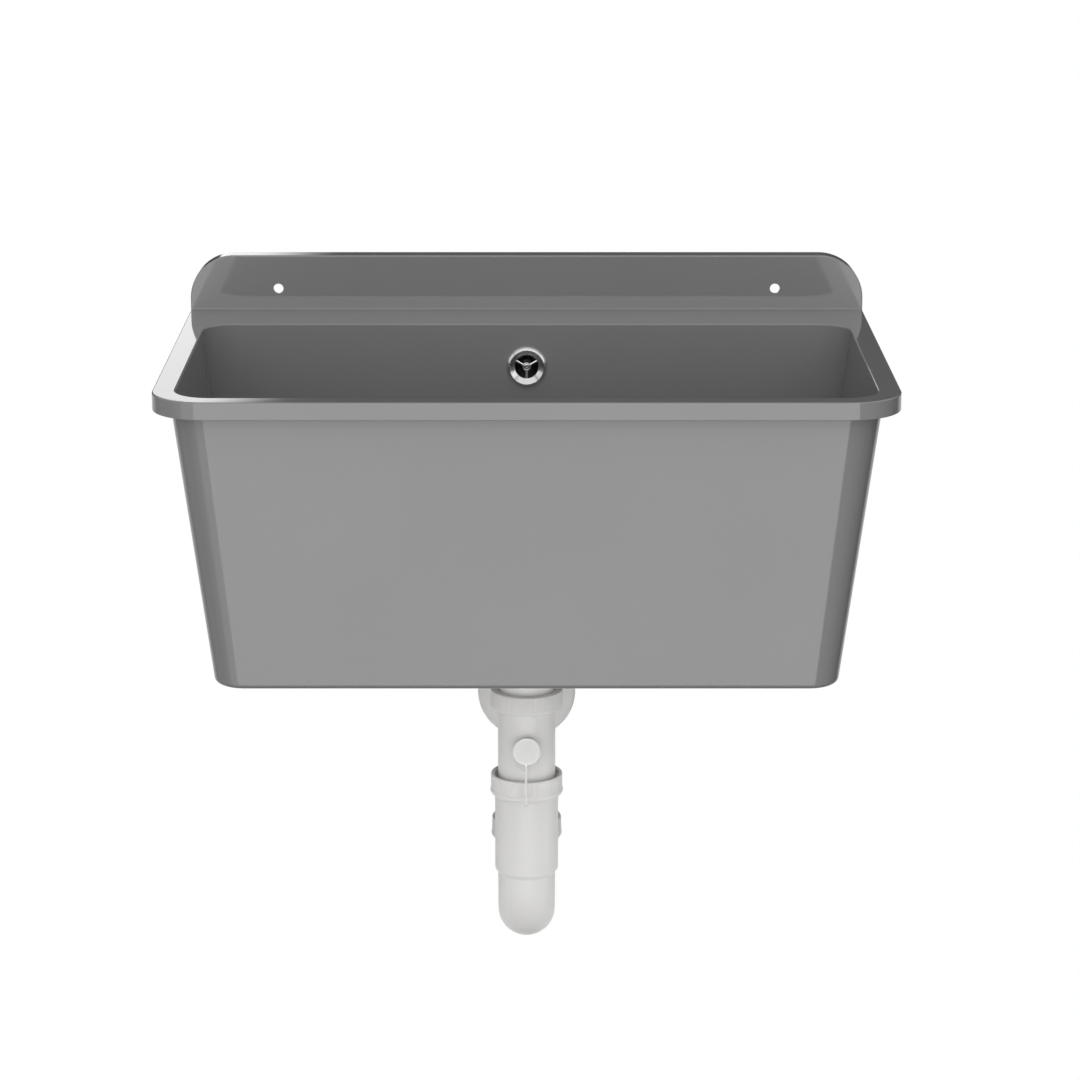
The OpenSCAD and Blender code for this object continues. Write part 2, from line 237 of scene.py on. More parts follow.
# -------------------------------------------------------------- materials
def tree(name):
    m = bpy.data.materials.new(name)
    m.use_nodes = True
    nt = m.node_tree
    nt.nodes.clear()
    out = nt.nodes.new("ShaderNodeOutputMaterial")
    b = nt.nodes.new("ShaderNodeBsdfPrincipled")
    nt.links.new(b.outputs[0], out.inputs[0])
    return m, nt, b


def noise(nt, co, scale, detail=3.0, rough=0.5, distort=0.0):
    n = nt.nodes.new("ShaderNodeTexNoise")
    n.inputs["Scale"].default_value = scale
    n.inputs["Detail"].default_value = detail
    n.inputs["Roughness"].default_value = rough
    n.inputs["Distortion"].default_value = distort
    nt.links.new(co, n.inputs["Vector"])
    return n.outputs["Fac"]


def coords(nt, scale=None):
    t = nt.nodes.new("ShaderNodeTexCoord")
    if scale is None:
        return t.outputs["Object"]
    m = nt.nodes.new("ShaderNodeMapping")
    m.inputs["Scale"].default_value = scale
    nt.links.new(t.outputs["Object"], m.inputs["Vector"])
    return m.outputs["Vector"]


def span(nt, src, lo, hi, a=0.3, b=0.7):
    m = nt.nodes.new("ShaderNodeMapRange")
    m.interpolation_type = "SMOOTHSTEP"
    m.inputs["From Min"].default_value = a
    m.inputs["From Max"].default_value = b
    m.inputs["To Min"].default_value = lo
    m.inputs["To Max"].default_value = hi
    nt.links.new(src, m.inputs["Value"])
    return m.outputs["Result"]


def mixc(nt, fac, c1, c2):
    m = nt.nodes.new("ShaderNodeMix")
    m.data_type = "RGBA"
    if isinstance(fac, (int, float)):
        m.inputs[0].default_value = fac
    else:
        nt.links.new(fac, m.inputs[0])
    for i, c in ((6, c1), (7, c2)):
        if isinstance(c, (tuple, list)):
            m.inputs[i].default_value = (*c, 1.0)
        else:
            nt.links.new(c, m.inputs[i])
    return m.outputs[2]


def math_node(nt, op, a, b=None):
    m = nt.nodes.new("ShaderNodeMath")
    m.operation = op
    for i, v in enumerate((a, b)):
        if v is None:
            continue
        if isinstance(v, (int, float)):
            m.inputs[i].default_value = v
        else:
            nt.links.new(v, m.inputs[i])
    return m.outputs[0]


def bump(nt, b, height, strength, dist):
    n = nt.nodes.new("ShaderNodeBump")
    n.inputs["Strength"].default_value = strength
    n.inputs["Distance"].default_value = dist
    nt.links.new(height, n.inputs["Height"])
    nt.links.new(n.outputs[0], b.inputs["Normal"])


def scratches(nt, co_scale, scale, lo=0.46, hi=0.5):
    """Thin hairlines: where a stretched noise crosses its middle."""
    co = coords(nt, co_scale)
    f = noise(nt, co, scale, 2.0, 0.5, 0.6)
    a = math_node(nt, "ABSOLUTE", math_node(nt, "SUBTRACT", f, 0.5))
    return span(nt, a, 1.0, 0.0, 0.0, 0.012)


def grey_gloss():
    m, nt, b = tree("grey_moulded")
    co = coords(nt)
    cloud = span(nt, noise(nt, co, 5.0, 4.0, 0.55), 0.0, 1.0)
    fleck = span(nt, noise(nt, co, 900.0, 2.0, 0.6), 0.0, 1.0, 0.35, 0.75)
    c = mixc(nt, cloud, (0.206, 0.203, 0.205), (0.215, 0.212, 0.214))
    c = mixc(nt, math_node(nt, "MULTIPLY", fleck, 0.18), c, (0.235, 0.232, 0.234))
    nt.links.new(c, b.inputs["Base Color"])
    flow = noise(nt, coords(nt, (1.0, 1.0, 0.35)), 11.0, 3.0, 0.5, 0.8)
    r = span(nt, flow, 0.030, 0.060)
    hair = math_node(nt, "MULTIPLY", scratches(nt, (1.0, 6.0, 1.0), 40.0), 0.05)
    nt.links.new(math_node(nt, "ADD", r, hair), b.inputs["Roughness"])
    b.inputs["IOR"].default_value = 1.5
    peel = noise(nt, co, 160.0, 2.0, 0.5)
    bump(nt, b, peel, 0.02, 0.0002)
    return m


def white_satin(name="white_moulded", base=(0.655, 0.649, 0.636), rough=(0.30, 0.40), lower=None, inside=None):
    m, nt, b = tree(name)
    co = coords(nt)
    cloud = span(nt, noise(nt, co, 14.0, 4.0, 0.55), 0.0, 1.0)
    lo = tuple(x * 0.975 for x in base)
    c = mixc(nt, cloud, lo, base)
    dust = span(nt, noise(nt, co, 420.0, 3.0, 0.6), 0.0, 1.0, 0.55, 0.8)
    c = mixc(nt, math_node(nt, "MULTIPLY", dust, 0.10), c, tuple(x * 0.9 for x in base))
    if lower is not None:
        # painted shade: the thin strap under the cap's disc is painted darker than the disc, near the tone of the
        # tubes
        sep = nt.nodes.new("ShaderNodeSeparateXYZ")
        nt.links.new(co, sep.inputs[0])
        c = mixc(nt, span(nt, sep.outputs[2], 1.0, 0.0, -0.3668, -0.3648), c, lower)
    if inside is not None:
        # painted shade: the bore round this axis, down to its floor, is painted near black, standing in for the shade
        # deep inside the overflow hole
        at, along, radius, depth, shade_tint = inside
        off = nt.nodes.new("ShaderNodeVectorMath")
        off.operation = "SUBTRACT"
        nt.links.new(co, off.inputs[0])
        off.inputs[1].default_value = at
        arm = nt.nodes.new("ShaderNodeVectorMath")
        arm.operation = "CROSS_PRODUCT"
        nt.links.new(off.outputs[0], arm.inputs[0])
        arm.inputs[1].default_value = along
        far = nt.nodes.new("ShaderNodeVectorMath")
        far.operation = "LENGTH"
        nt.links.new(arm.outputs[0], far.inputs[0])
        deep = nt.nodes.new("ShaderNodeVectorMath")
        deep.operation = "DOT_PRODUCT"
        nt.links.new(off.outputs[0], deep.inputs[0])
        deep.inputs[1].default_value = along
        painted_shade_mask = math_node(nt, "MULTIPLY",
                           span(nt, far.outputs["Value"], 1.0, 0.0, radius - 0.0002, radius + 0.0002),
                           span(nt, deep.outputs["Value"], 1.0, 0.0, depth - 0.0002, depth + 0.0002))
        c = mixc(nt, painted_shade_mask, c, shade_tint)
    nt.links.new(c, b.inputs["Base Color"])
    flow = noise(nt, coords(nt, (1.0, 1.0, 0.3)), 30.0, 3.0, 0.5, 0.5)
    nt.links.new(span(nt, flow, rough[0], rough[1]), b.inputs["Roughness"])
    b.inputs["IOR"].default_value = 1.49
    # light spreads inside the plastic, which evens the shading round the tubes
    b.inputs["Diffuse Roughness"].default_value = 1.0
    b.inputs["Subsurface Weight"].default_value = 0.5
    b.inputs["Subsurface Radius"].default_value = (1.0, 0.97, 0.92)
    b.inputs["Subsurface Scale"].default_value = 0.006
    fine = math_node(nt, "ADD", noise(nt, co, 700.0, 2.0, 0.5),
                     math_node(nt, "MULTIPLY", noise(nt, co, 60.0, 2.0, 0.5), 2.0))
    bump(nt, b, fine, 0.05, 0.0002)
    return m


def chrome():
    m, nt, b = tree("chrome_plated")
    co = coords(nt)
    c = mixc(nt, span(nt, noise(nt, co, 60.0, 3.0, 0.5), 0.0, 1.0), (0.70, 0.70, 0.715), (0.78, 0.78, 0.79))
    nt.links.new(c, b.inputs["Base Color"])
    b.inputs["Metallic"].default_value = 1.0
    nt.links.new(span(nt, noise(nt, co, 300.0, 3.0, 0.5), 0.20, 0.26), b.inputs["Roughness"])
    bump(nt, b, noise(nt, co, 900.0, 2.0, 0.5), 0.01, 0.0001)
    return m


def steel():
    m, nt, b = tree("brushed_steel")
    g = noise(nt, coords(nt, (1.0, 12.0, 1.0)), 260.0, 3.0, 0.6)
    c = mixc(nt, span(nt, g, 0.0, 1.0), (0.55, 0.55, 0.56), (0.66, 0.66, 0.67))
    nt.links.new(c, b.inputs["Base Color"])
    b.inputs["Metallic"].default_value = 1.0
    nt.links.new(span(nt, g, 0.18, 0.32), b.inputs["Roughness"])
    bump(nt, b, g, 0.06, 0.0001)
    return m


def rubber():
    m, nt, b = tree("rubber_black")
    co = coords(nt)
    c = mixc(nt, span(nt, noise(nt, co, 90.0, 3.0, 0.6), 0.0, 1.0), (0.022, 0.022, 0.022), (0.045, 0.044, 0.043))
    nt.links.new(c, b.inputs["Base Color"])
    nt.links.new(span(nt, noise(nt, co, 220.0, 3.0, 0.5), 0.55, 0.75), b.inputs["Roughness"])
    bump(nt, b, noise(nt, co, 800.0, 2.0, 0.5), 0.12, 0.0002)
    return m


GREY = grey_gloss()
WHITE = white_satin()
# painted light: the cap is a lighter copy of the white moulding, so its disc reads brighter as if lit more from the
# front; its strap is painted back down
CAPW = white_satin("cap_painted_light_and_shade", (0.85, 0.845, 0.835), (0.30, 0.42), (0.64, 0.635, 0.625))
# a lighter copy of the white moulding; on the waste body it is painted light, standing in for light in the shade under
# the bowl
ROSW = white_satin("fitting_moulded", (0.75, 0.743, 0.729))
# painted shade: the overflow cup's bore is painted near black inside, for the shade in the hole
CUP_PAINTED_SHADE = white_satin("overflow_cup_painted_shade", inside=((0.0, -0.083427, -0.057), (0.0, 0.999391, -0.034899), 0.0131, 0.0337, (0.034, 0.034, 0.035)))
HOSE = white_satin("hose_moulded", (0.62, 0.62, 0.60), (0.36, 0.5))
CHROME = chrome()
STEEL = steel()
RUBBER = rubber()

# ------------------------------------------------------------------ basin
W = 300.0
YF, YS = -400.0, -17.0
SPL = 49.0
RR, RS = 46.0, 39.0
RF = 1.2
RJ = 1.3
SKIN = 3.0
LIP = 14.6
S1 = (YS - YF) - RJ
S2 = S1 + RJ * math.pi / 2
STOT = S2 + SPL - RJ


def fold(x, s, d):
    """A point of the folded sheet: s runs back along the rim and up the raised
    back, d is the depth under the shown face."""
    if s <= S1:
        return (x, YF + s, -d)
    if s < S2:
        a = (s - S1) / RJ
        return (x, YS - RJ + (RJ + d) * math.sin(a), RJ - (RJ + d) * math.cos(a))
    return (x, YS + d, RJ + s - S2)


def depth(s):
    if s <= S1:
        return LIP
    if s >= S2:
        return -YS
    a = (s - S1) / RJ
    return min((LIP + RJ) / max(1e-9, math.cos(a)), (-YS + RJ) / max(1e-9, math.sin(a))) - RJ


def outline():
    """Samples (x, s, mx, ms) round the sheet; m points inward."""
    pts = []
    k = 28
    corner_a = math.atan2(-YS + RJ, LIP + RJ)
    fold_s = [S1 + RJ * a for a in sorted([math.pi / 2 * i / 8 for i in range(9)] + [corner_a])]
    side_s = [YF * 0 + v for v in (120.0, 230.0, 330.0, 360.0)] + fold_s + [S2 + 4.0]
    for i in range(k + 1):
        a = -math.pi / 2 + math.pi / 2 * i / k
        pts.append((W - RR + RR * math.cos(a), RR + RR * math.sin(a), -math.cos(a), -math.sin(a)))
    for s in side_s:
        pts.append((W, s, -1.0, 0.0))
    for i in range(k + 1):
        a = math.pi / 2 * i / k
        pts.append((W - RS + RS * math.cos(a), STOT - RS + RS * math.sin(a), -math.cos(a), -math.sin(a)))
    right = pts
    left = [(-x, s, -mx, ms) for x, s, mx, ms in reversed(pts)]
    return right + left


OUT = outline()


def sheet_ring(e, d):
    """One ring of the sheet's edge; e and d may depend on the sample."""
    ring = []
    for x, s, mx, ms in OUT:
        ee = e(s) if callable(e) else e
        dd = d(s) if callable(d) else d
        ring.append(fold(x + ee * mx, s + ee * ms, dd))
    return ring


def rb(s):
    """Radius of the lip's lower edge, none where it meets the wall."""
    t = max(0.0, min(1.0, (350.0 - s) / 40.0))
    return 0.7 * t * t * (3 - 2 * t)


class Shell:
    def __init__(self):
        self.v, self.f = [], []

    def ring(self, pts):
        i = len(self.v)
        self.v += [tuple(p) for p in pts]
        return list(range(i, i + len(pts)))

    def bridge(self, a, b):
        n = len(a)
        for k in range(n):
            k2 = (k + 1) % n
            self.f.append((a[k], a[k2], b[k2], b[k]))

    def flat(self, outer, holes, drop):
        """Fills a flat region between loops of 3-D points; drop is the axis that
        is the same all over it."""
        ax = [i for i in range(3) if i != drop]
        loops = [outer] + list(holes)
        co, edges = [], []
        for lp in loops:
            lp2 = []
            for p in lp:
                if not lp2 or (Vector(p) - Vector(lp2[-1])).length > 1e-5:
                    lp2.append(p)
            if (Vector(lp2[0]) - Vector(lp2[-1])).length < 1e-5:
                lp2.pop()
            i = len(co)
            co += lp2
            edges += [(i + k, i + (k + 1) % len(lp2)) for k in range(len(lp2))]
        c2 = [Vector((p[ax[0]], p[ax[1]])) for p in co]
        vs, _, fs, orig, _, _ = delaunay_2d_cdt(c2, edges, [], 1, 1e-6)
        base = len(self.v)
        level = co[0][drop]
        for k, q in enumerate(vs):
            if orig[k]:
                self.v.append(tuple(co[orig[k][0]]))
            else:
                p = [0.0, 0.0, 0.0]
                p[ax[0]], p[ax[1]], p[drop] = q[0], q[1], level
                self.v.append(tuple(p))
        c2n = [np.array([[c2[i][0], c2[i][1]] for i in range(len(co))])]
        outer_n = len([0 for _ in outer])
        for fce in fs:
            cx = sum(vs[i][0] for i in fce) / len(fce)
            cy = sum(vs[i][1] for i in fce) / len(fce)
            if any(inside(cx, cy, [(p[ax[0]], p[ax[1]]) for p in h]) for h in holes):
                continue
            if not inside(cx, cy, [(p[ax[0]], p[ax[1]]) for p in outer]):
                continue
            self.f.append(tuple(base + i for i in fce))


def inside(x, y, poly):
    c = False
    n = len(poly)
    j = n - 1
    for i in range(n):
        xi, yi = poly[i]
        xj, yj = poly[j]
        if (yi > y) != (yj > y) and x < (xj - xi) * (y - yi) / (yj - yi) + xi:
            c = not c
        j = i
    return c


def rrect(x, y0, y1, r, z, k=24):
    """Rounded rectangle, symmetric in x, as a ring with k steps a corner."""
    pts = []
    for cx, cy, a0 in ((x - r, y0 + r, -90), (x - r, y1 - r, 0), (-x + r, y1 - r, 90), (-x + r, y0 + r, 180)):
        for i in range(k + 1):
            a = math.radians(a0 + 90.0 * i / k)
            pts.append((cx + r * math.cos(a), cy + r * math.sin(a), z))
    return pts


OW, OF, OB = 281.5, -382.0, -82.0
TS, TB = math.tan(math.radians(6.8)), math.tan(math.radians(2.0))
FLOOR, UNDER = -245.5, -250.0
DY = -222.0


def inner_ring(z, grow=0.0):
    t = (0.2 - z) / (0.2 - FLOOR)
    si, bi = t * 250 * 0.982 * TS, t * 250 * 0.982 * TB
    return rrect(OW - si + grow, OF + si - grow, OB - bi + grow, 30 - 4 * t + grow, z)


def outer_ring(z, grow=0.0):
    t = (-3.0 - z) / (UNDER * -1 - 3.0)
    si, bi = t * 250 * TS, t * 250 * TB
    return rrect(OW + 5 - si + grow, OF - 5 + si - grow, OB + 5 - bi + grow, 34 - 8 * t + grow, z)


def drain_circle(r, z, like):
    pts = []
    for p in like:
        a = math.atan2(p[1] - DY, p[0])
        pts.append((r * math.cos(a), DY + r * math.sin(a), z))
    return pts


def build_basin():
    sh = Shell()
    K = 7
    rings = []
    # rounded upper edge of the rim and raised back, the lip, its lower edge
    for i in range(K + 1):
        a = math.pi / 2 * i / K
        rings.append((RF * (1 - math.sin(a)), RF * (1 - math.cos(a))))
    top = sheet_ring(RF, 0.0)
    prev = None
    for e, d in rings:
        cur = sh.ring(sheet_ring(e, d))
        if prev:
            sh.bridge(prev, cur)
        prev = cur
    for i in range(5):
        a = math.pi / 2 * i / 4
        cur = sh.ring(sheet_ring(lambda s: rb(s) * (1 - math.cos(a)),
                                 lambda s: depth(s) - rb(s) * (1 - math.sin(a))))
        sh.bridge(prev, cur)
        prev = cur
    last = sheet_ring(lambda s: rb(s), lambda s: depth(s))
    # underside of the lip, flat on z = -LIP
    low = [p for p in last if abs(p[2] + LIP) < 1e-3]
    i0 = max(range(len(low)), key=lambda i: (low[i][0] > 0, low[i][1]))
    # order: the samples start at the front right and run to the back right,
    # then from the back left to the front left
    half = len(OUT) // 2
    low_r = [p for p in last[:half] if abs(p[2] + LIP) < 1e-3]
    low_l = [p for p in last[half:] if abs(p[2] + LIP) < 1e-3]
    cav = [fold(x + SKIN * mx, s + SKIN * ms, LIP) for x, s, mx, ms in OUT[:half] if s <= 362.0]
    cav = cav + [(W - SKIN, -SKIN, -LIP)]
    cav_loop = cav + [(-p[0], p[1], p[2]) for p in reversed(cav)]
    rad = 0.5
    sh.flat(low_r + low_l, [cav_loop], 2)
    # walls and ceiling of the hollow under the rim
    a = sh.ring(cav_loop)
    b = sh.ring([(p[0], p[1], -SKIN) for p in cav_loop])
    sh.bridge(a, b)
    root = 4.0
    sh.flat([(p[0], p[1], -SKIN) for p in cav_loop], [outer_ring(-SKIN, root)], 2)
    # face against the wall, with the hollow of the raised back
    wall_r = [p for p in last[:half] if abs(p[1]) < 1e-3]
    wall_l = [p for p in last[half:] if abs(p[1]) < 1e-3]
    hr = RS - SKIN
    hx, hz = W - SKIN, SPL - SKIN
    hole = [(hx, 0.0, 0.0)]
    for i in range(17):
        t = math.pi / 2 * i / 16
        hole.append((hx - hr + hr * math.cos(t), 0.0, hz - hr + hr * math.sin(t)))
    hole = hole + [(-p[0], 0.0, p[2]) for p in reversed(hole)]
    sh.flat(wall_r + wall_l, [hole], 1)
    a = sh.ring(hole)
    b = sh.ring([(p[0], YS + SKIN, p[2]) for p in hole])
    sh.bridge(a, b)
    screws_back = [[(sx * 221.5 + 4.4 * math.cos(t), YS + SKIN, 19 + 4.4 * math.sin(t))
                    for t in [2 * math.pi * i / 40 for i in range(40)]] for sx in (-1, 1)]
    sh.flat([(p[0], YS + SKIN, p[2]) for p in hole], screws_back, 1)
    # front of the raised back
    fr = [p for p in top if p[2] >= RJ - 1e-6 and abs(p[1] - YS) < 1e-6]
    screws = []
    for sx in (-1, 1):
        circ = lambda r, y: [(sx * 221.5 + r * math.cos(t), y, 19 + r * math.sin(t))
                             for t in [2 * math.pi * i / 40 for i in range(40)]]
        screws.append(circ(4.9, YS))
        prev = None
        for j in range(5):
            a = math.pi / 2 * j / 4
            cur = sh.ring(circ(4.9 - 0.5 * math.sin(a), YS + 0.5 * (1 - math.cos(a))))
            if prev:
                sh.bridge(prev, cur)
            prev = cur
        cur = sh.ring(circ(4.4, YS + SKIN))
        sh.bridge(prev, cur)
    sh.flat(fr, screws, 1)
    # fold between rim and raised back
    xs = W - RF
    corner_a = math.atan2(-YS + RJ, LIP + RJ)
    angles = sorted([math.pi / 2 * i / 8 for i in range(9)] + [corner_a])
    for a0, a1 in zip(angles, angles[1:]):
        p = [fold(xs, S1 + RJ * a0, 0), fold(xs, S1 + RJ * a1, 0), fold(-xs, S1 + RJ * a1, 0), fold(-xs, S1 + RJ * a0, 0)]
        i = len(sh.v)
        sh.v += p
        sh.f.append((i, i + 1, i + 2, i + 3))
    # rim
    RE = 1.3
    dk = [p for p in top if abs(p[2]) < 1e-6 and p[1] <= YS - RJ + 1e-6]
    # every sample of the rim's outline, in order
    half_top = [p for p in top[:half] if abs(p[2]) < 1e-9]
    half_top2 = [p for p in top[half:] if abs(p[2]) < 1e-9]
    sh.flat(half_top + half_top2, [inner_ring(0.0, RE)], 2)
    # opening's edge, walls and floor
    prev = sh.ring(inner_ring(0.0, RE))
    for i in range(1, 8):
        a = math.radians(83.2) * i / 7
        cur = sh.ring(inner_ring(-RE * (1 - math.cos(a)), RE * (1 - math.sin(a))))
        sh.bridge(prev, cur)
        prev = cur
    Q = 8.0
    for z in (-20.0, -60.0, -110.0, -160.0, -210.0, FLOOR + Q):
        cur = sh.ring(inner_ring(z))
        sh.bridge(prev, cur)
        prev = cur
    for i in range(1, 9):
        a = math.pi / 2 * i / 8
        cur = sh.ring(inner_ring(FLOOR + Q * (1 - math.sin(a)), -Q * (1 - math.cos(a))))
        sh.bridge(prev, cur)
        prev = cur
    last_in = inner_ring(FLOOR, -Q)
    seat = -251.5
    for r, z in fil([(60, FLOOR, 0), (43, FLOOR, 3.0), (40, seat, 1.5), (30.5, seat, 0.4), (30.5, -256, 0.5), (47, -256, 1.0), (47, UNDER, 2.0), (54, UNDER, 0)], closed=False):
        cur = sh.ring(drain_circle(r, z, last_in))
        sh.bridge(prev, cur)
        prev = cur
    # outside of the bowl
    QO = 4.6
    for i in range(0, 9):
        a = math.pi / 2 * (1 - i / 8)
        cur = sh.ring(outer_ring(UNDER + QO * (1 - math.sin(math.pi / 2 - a)), -QO * (1 - math.cos(math.pi / 2 - a))))
        if i == 0:
            cur = sh.ring(outer_ring(UNDER, -QO))
        else:
            t = math.pi / 2 * i / 8
            cur = sh.ring(outer_ring(UNDER + QO * (1 - math.cos(t)), -QO * (1 - math.sin(t))))
        sh.bridge(prev, cur)
        prev = cur
    for z in (-200.0, -150.0, -100.0, -50.0, -SKIN - root):
        cur = sh.ring(outer_ring(z))
        sh.bridge(prev, cur)
        prev = cur
    for i in range(1, 7):
        t = math.pi / 2 * i / 6
        cur = sh.ring(outer_ring(-SKIN - root * (1 - math.sin(t)), root * (1 - math.cos(t))))
        sh.bridge(prev, cur)
        prev = cur
    return sh.v, sh.f


bv, bf = build_basin()
basin = raw("basin_shell", bv, bf)
# hole of the overflow, square to the sloping back wall
ovr = math.radians(2.0)
O_AT = Vector((0.0, OB - 38.0 * TB - 0.1, -38.0))
O_DIR = Vector((0.0, math.cos(ovr), -math.sin(ovr)))
opath = axis_path(O_AT, O_DIR, (1, 0, 0))
# stiffening ribs behind the raised back, flush with the wall
for rx in (-130.0, 0.0, 130.0):
    rv = [(rx + u * w, y, z) for z in (-1.0, 46.5) for y, w in ((-14.5, 1.7), (0.0, 1.4)) for u in (-1, 1)]
    modifier_boolean(basin, raw("rib", rv, [(0, 1, 3, 2), (4, 6, 7, 5), (0, 4, 5, 1), (1, 5, 7, 3), (3, 7, 6, 2), (2, 6, 4, 0)]), "UNION")
modifier_boolean(basin, raw("cut", *sweep(opath, [(-6, 0), (-6, 13.6), (14, 13.6), (14, 0)], 64, closed=False)))
finish_mesh(basin, 28.0, True)
basin.data.materials.clear()
basin.data.materials.append(GREY)
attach(basin, "sink")
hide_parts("basin")

# --------------------------------------------------------------- overflow
prof = fil([(0.0, 17.8, 0.1), (-1.0, 17.8, 0.5), (-2.6, 16.7, 6.0), (-4.1, 15.3, 0.5), (-4.1, 14.9, 0.35),
            (-0.7, 10.5, 1.2), (0.4, 10.0, 0.5), (4.0, 10.0, 0.2), (4.0, 13.2, 0.2), (0.0, 13.2, 0.1)], step=8)
put("overflow_ring_trim", *sweep(opath, prof, 128), CHROME, "sink", "chrome", ["overflow_ring"])


def bar(path, s0, s1, x0, x1, w, r=0.35):
    """Rounded bar across the axis: s is depth, from radius x0 to x1, width w."""
    prof2 = fil([(s0, -w / 2, r), (s1, -w / 2, r), (s1, w / 2, r), (s0, w / 2, r)], step=22)
    return prof2, x0, x1


def spoke(angle):
    prof2, x0, x1 = bar(opath, -0.4, 1.6, 3.0, 10.6, 2.1, 0.9)
    O, U, V = opath(0)
    O, U, V = Vector(O), Vector(U), Vector(V)
    c, s = math.cos(angle), math.sin(angle)
    er, et = U * c + V * s, -U * s + V * c
    verts, faces = [], []
    n = len(prof2)
    for r in (x0, x1):
        for a, b in prof2:
            verts.append(tuple(O + O_DIR * a + er * r + et * b))
    faces = [(k, (k + 1) % n, n + (k + 1) % n, n + k) for k in range(n)]
    faces += [tuple(range(n)), tuple(range(2 * n - 1, n - 1, -1))]
    return verts, faces


# V is down or up according to the frame; angles are set so that one spoke
# points straight down
_, _, V0 = opath(0)
down = -math.pi / 2 if Vector(V0).z > 0 else math.pi / 2
for i in range(3):
    o = put("overflow_spoke_%d" % i, *spoke(down + i * 2 * math.pi / 3), CHROME, "sink", "chrome")
put("overflow_hub", *sweep(opath, fil([(-0.6, 2.75, 0.25), (-0.6, 3.7, 0.5), (2.6, 3.7, 0.3), (2.6, 1.85, 0.1), (1.0, 1.85, 0.1), (1.0, 2.6, 0.1)], step=18), 64), CHROME, "sink", "chrome")

# screw of the overflow: head with a cross recess, seated in the hub
head = sweep(opath, fil([(-0.5, 0.0), (-0.45, 1.9, 0.4), (-0.25, 2.45, 0.25), (0.9, 2.45, 0.1), (0.9, 1.75, 0.1), (25.6, 1.75, 0.5), (25.6, 0.0)], closed=False), 48, closed=False)


def cross_box(angle):
    O, U, V = opath(0)
    O, U, V = Vector(O), Vector(U), Vector(V)
    c, s = math.cos(angle), math.sin(angle)
    e1, e2 = U * c + V * s, -U * s + V * c
    vs = []
    for d in (-2.0, 0.2):
        for a, b in ((-1.5, -0.3), (1.5, -0.3), (1.5, 0.3), (-1.5, 0.3)):
            vs.append(tuple(O + O_DIR * d + e1 * a + e2 * b))
    return vs, [(0, 1, 2, 3), (7, 6, 5, 4), (0, 4, 5, 1), (1, 5, 6, 2), (2, 6, 7, 3), (3, 7, 4, 0)]


solid_union("overflow_screw_head", [head], STEEL, "overflow_screw", ["overflow_screw"],
            cut=[cross_box(0.6), cross_box(0.6 + math.pi / 2)])

# ------------------------------------------------------------------- trap
NRIB = 76


def ribs(z0, z1, amp, n=NRIB):
    def f(th, s, r):
        lo, hi = min(z0, z1), max(z0, z1)
        if s < lo or s > hi:
            return 0.0
        w = min(1.0, (s - lo) / 0.5, (hi - s) / 0.5)
        return -amp * w * (0.5 - 0.5 * math.cos(n * th)) ** 2
    return f


def nut_faces(path, prof, amp, z0, z1):
    p = dense(prof, min(z0, z1), max(z0, z1), 0.5)
    base = ribs(z0, z1, amp)

    def f(th, s, r):
        return base(th, s, r) if r > 29.4 else 0.0
    return sweep(path, p, NRIB * 8, f)


# union nut on the waste's thread
T = -290.3
up = fil([(T - 0.0, 24.2, 0.3), (T, 30.95, 0.7), (T - 14.6, 30.95, 0.6), (T - 16.9, 26.4, 0.8), (T - 17.2, 21.3, 0.2),
          (T - 15.6, 21.3, 0.1), (T - 15.6, 24.2, 0.2)], step=18)
put("union_nut_ribbed", *nut_faces(zpath(DY), up, 0.34, T - 1.0, T - 14.0), WHITE, "union_nut", "white_plastic", ["union_nut"], sharp=40)


def slip_profile(T):
    return fil([(T, 27.9, 0.9), (T, 30.5, 0.9), (T - 1.4, 30.8, 0.5), (T - 13.4, 30.8, 0.3), (T - 14.3, 31.3, 0.4), (T - 15.9, 31.3, 0.8),
                (T - 17.6, 30.4, 0.7), (T - 18.0, 28.5, 0.3), (T - 6.2, 28.5, 0.1), (T - 6.2, 25.1, 0.1), (T - 3.6, 25.1, 0.3), (T - 3.6, 27.9, 0.2)], step=18)


put("front_nut_ribbed", *nut_faces(zpath(DY), slip_profile(-366.0), 0.30, -367.6, -379.2), WHITE, "front_nut", "white_plastic", ["front_nut"], sharp=40)
put("rear_nut_ribbed", *nut_faces(zpath(-134.0), slip_profile(-436.3), 0.36, -437.9, -449.5), WHITE, "rear_nut", "white_plastic", ["rear_nut"], sharp=40)

# inlet tube with its nozzle
TR, TT = 24.7, 2.3
NR = math.radians(36.0)
NDIR = Vector((0.0, -math.cos(NR), math.sin(NR)))
NAT = Vector((0.0, DY, -362.0))
tube = sweep(zpath(DY), fil([(-303.6, 18.5, 0.4), (-303.6, 23.8, 0.4), (-305.7, 23.8, 0.3), (-305.7, 21.0, 0.2), (-307.6, 21.0, 0.1),
                             (-307.7, TR, 0.5), (-430.0, TR, 0.8), (-430.0, TR - TT, 0.6), (-313.6, TR - TT, 2.0), (-313.6, 18.5, 1.0)]), 128)
nz = axis_path(NAT, NDIR, (1, 0, 0))
nozzle = sweep(nz, [(10.0, 0.0), (10.0, 10.2), (20.0, 11.2), (23.0, 11.0), (25.4, 10.5), (27.4, 10.0), (29.4, 9.7), (31.6, 9.5), (42.5, 9.5), (42.9, 9.1), (42.9, 0.0)], 64, closed=False)
bore = sweep(nz, [(12.0, 0.0), (12.0, 7.5), (60.0, 7.5), (60.0, 0.0)], 48, closed=False)
clear = sweep(zpath(DY), [(-313.6, 0.0), (-313.6, TR - TT), (-429.0, TR - TT), (-429.0, 0.0)], 128, closed=False)
solid_union("inlet_tube_body", [tube, nozzle], WHITE, "inlet", ["inlet_tube"], cut=[clear, bore], sharp=34)

